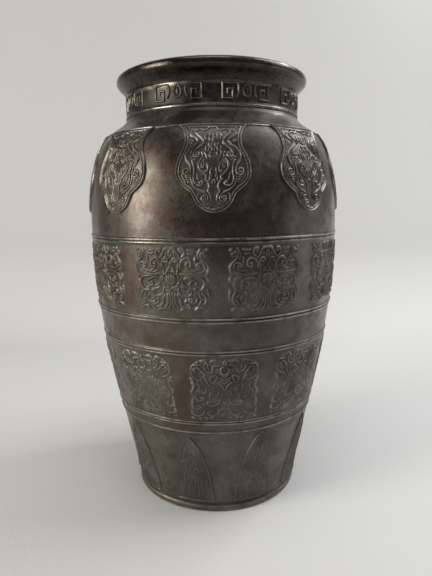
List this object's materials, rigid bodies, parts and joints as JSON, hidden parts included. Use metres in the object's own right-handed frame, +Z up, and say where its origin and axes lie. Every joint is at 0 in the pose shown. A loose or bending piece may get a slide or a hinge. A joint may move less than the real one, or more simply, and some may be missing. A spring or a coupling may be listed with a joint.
{
  "type": "bronze vase",
  "caption": "Tall cast bronze vase with a rolled lip, hanging lappets, two belts of scroll relief and upright blades above the foot.",
  "frame": {"origin": "centre of the foot's underside, on the surface that the vase stands on", "axes": "+Z up along the vase's axis, the front lappet faces -Y, +X to its right"},
  "size_m": [0.1807, 0.1806, 0.3],
  "materials": {
    "wall_bronze": "dark brown patinated bronze, waxed and half glossy",
    "lip_bronze": "dark brown bronze, polished by handling",
    "relief_bronze": "dark bronze relief with grey-green verdigris in its hollows",
    "plate_bronze": "dull brown bronze, as cast",
    "solder": "dull grey solder"
  },
  "bodies": {
    "root": {"vessel_wall": "wall_bronze", "lip_ring": "lip_bronze", "base_plate": "plate_bronze", "base_solder": "solder", "lappet_1": "relief_bronze", "lappet_2": "relief_bronze", "lappet_3": "relief_bronze", "lappet_4": "relief_bronze", "lappet_5": "relief_bronze", "lappet_6": "relief_bronze", "lappet_7": "relief_bronze", "lappet_8": "relief_bronze", "lappet_9": "relief_bronze", "upper_panel_1": "relief_bronze", "upper_panel_2": "relief_bronze", "upper_panel_3": "relief_bronze", "upper_panel_4": "relief_bronze", "upper_panel_5": "relief_bronze", "upper_panel_6": "relief_bronze", "upper_panel_7": "relief_bronze", "upper_panel_8": "relief_bronze", "upper_panel_9": "relief_bronze", "lower_panel_1": "relief_bronze", "lower_panel_2": "relief_bronze", "lower_panel_3": "relief_bronze", "lower_panel_4": "relief_bronze", "lower_panel_5": "relief_bronze", "lower_panel_6": "relief_bronze", "lower_panel_7": "relief_bronze", "lower_panel_8": "relief_bronze", "lower_panel_9": "relief_bronze", "blade_1": "relief_bronze", "blade_2": "relief_bronze", "blade_3": "relief_bronze", "blade_4": "relief_bronze", "blade_5": "relief_bronze", "blade_6": "relief_bronze", "blade_7": "relief_bronze", "blade_8": "relief_bronze", "blade_9": "relief_bronze", "fret_1": "relief_bronze", "fret_2": "relief_bronze", "fret_3": "relief_bronze", "fret_4": "relief_bronze", "fret_5": "relief_bronze", "fret_6": "relief_bronze", "fret_7": "relief_bronze", "fret_8": "relief_bronze", "fret_9": "relief_bronze"}
  },
  "joints": []
}
